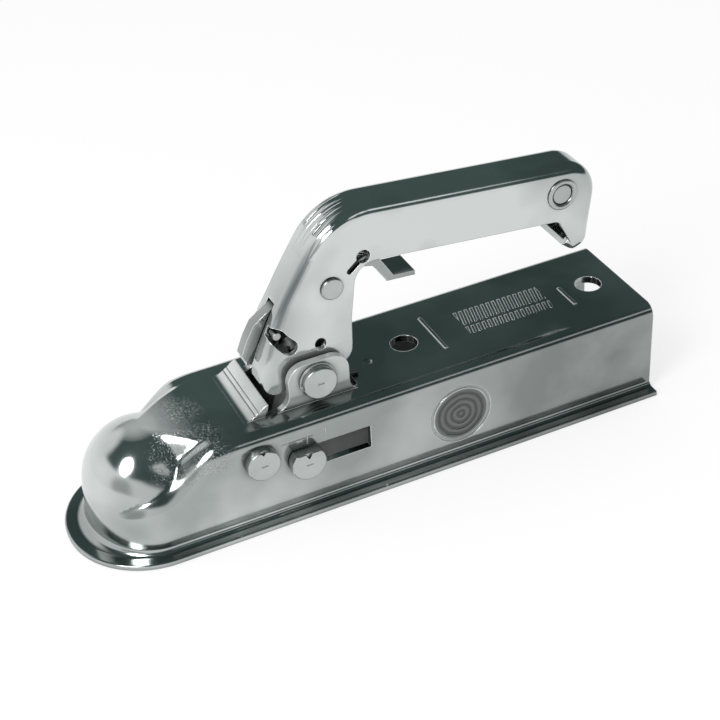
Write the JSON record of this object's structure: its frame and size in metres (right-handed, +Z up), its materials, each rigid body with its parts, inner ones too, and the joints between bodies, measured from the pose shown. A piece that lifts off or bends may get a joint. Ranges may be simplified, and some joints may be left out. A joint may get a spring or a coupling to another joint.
{
  "type": "trailer coupling head",
  "caption": "Pressed steel trailer coupling head with a ball socket, a lifting handle with a squeeze catch, a clamping jaw and a side position pointer.",
  "frame": {"origin": "centre of the tow ball in the closed socket", "axes": "+X back along the drawbar, +Z up, -Y is the side with the position pointer's head"},
  "size_m": [0.31, 0.0846, 0.1441],
  "materials": {
    "bright_plate": "bright zinc plate over pressed sheet",
    "dull_steel": "plain, lightly plated",
    "spring_steel": "dark spring wire"
  },
  "bodies": {
    "housing": {"housing": "bright_plate", "front_ball_rest": "bright_plate", "pivot_pin": "bright_plate", "pivot_washers": "dull_steel", "jaw_pin": "bright_plate", "jaw_spacers": "dull_steel"},
    "jaw": {"ball_jaw": "dull_steel", "jaw_springs": "spring_steel"},
    "handle": {"handle": "bright_plate", "clamp_rocker": "dull_steel", "rocker_key": "bright_plate", "rocker_spacers": "dull_steel", "closing_springs": "spring_steel", "pointer_pin": "bright_plate", "pointer_washer": "dull_steel", "tail_tube": "bright_plate", "tail_rivet": "bright_plate", "catch_rivet": "bright_plate"},
    "catch": {"catch_lever": "bright_plate", "catch_guide_pin": "bright_plate", "catch_spring": "spring_steel"}
  },
  "joints": [
    {"name": "handle_pivot", "type": "hinge", "parent": "housing", "child": "handle", "pos_m": [0.086, 0, 0.0395], "axis": [0, -1, 0], "range_deg": [0, 46], "stiffness_Nm_per_rad": 0.4, "springref_deg": -34.38, "deforming": ["closing_springs"]},
    {"name": "jaw_pivot", "type": "hinge", "parent": "housing", "child": "jaw", "pos_m": [0.049, 0, 0.0128], "axis": [0, -1, 0], "range_deg": [0, 20], "deforming": ["jaw_springs"]},
    {"name": "catch_pivot", "type": "hinge", "parent": "handle", "child": "catch", "pos_m": [0.101, 0, 0.0807], "axis": [0, -1, 0], "range_deg": [0, 16], "deforming": ["catch_spring"]}
  ],
  "couplings": [
    {"joint": "jaw_pivot", "follows": "handle_pivot", "ratio": 0.43478},
    {"joint": "catch_pivot", "follows": "handle_pivot", "ratio": 0.34782}
  ]
}
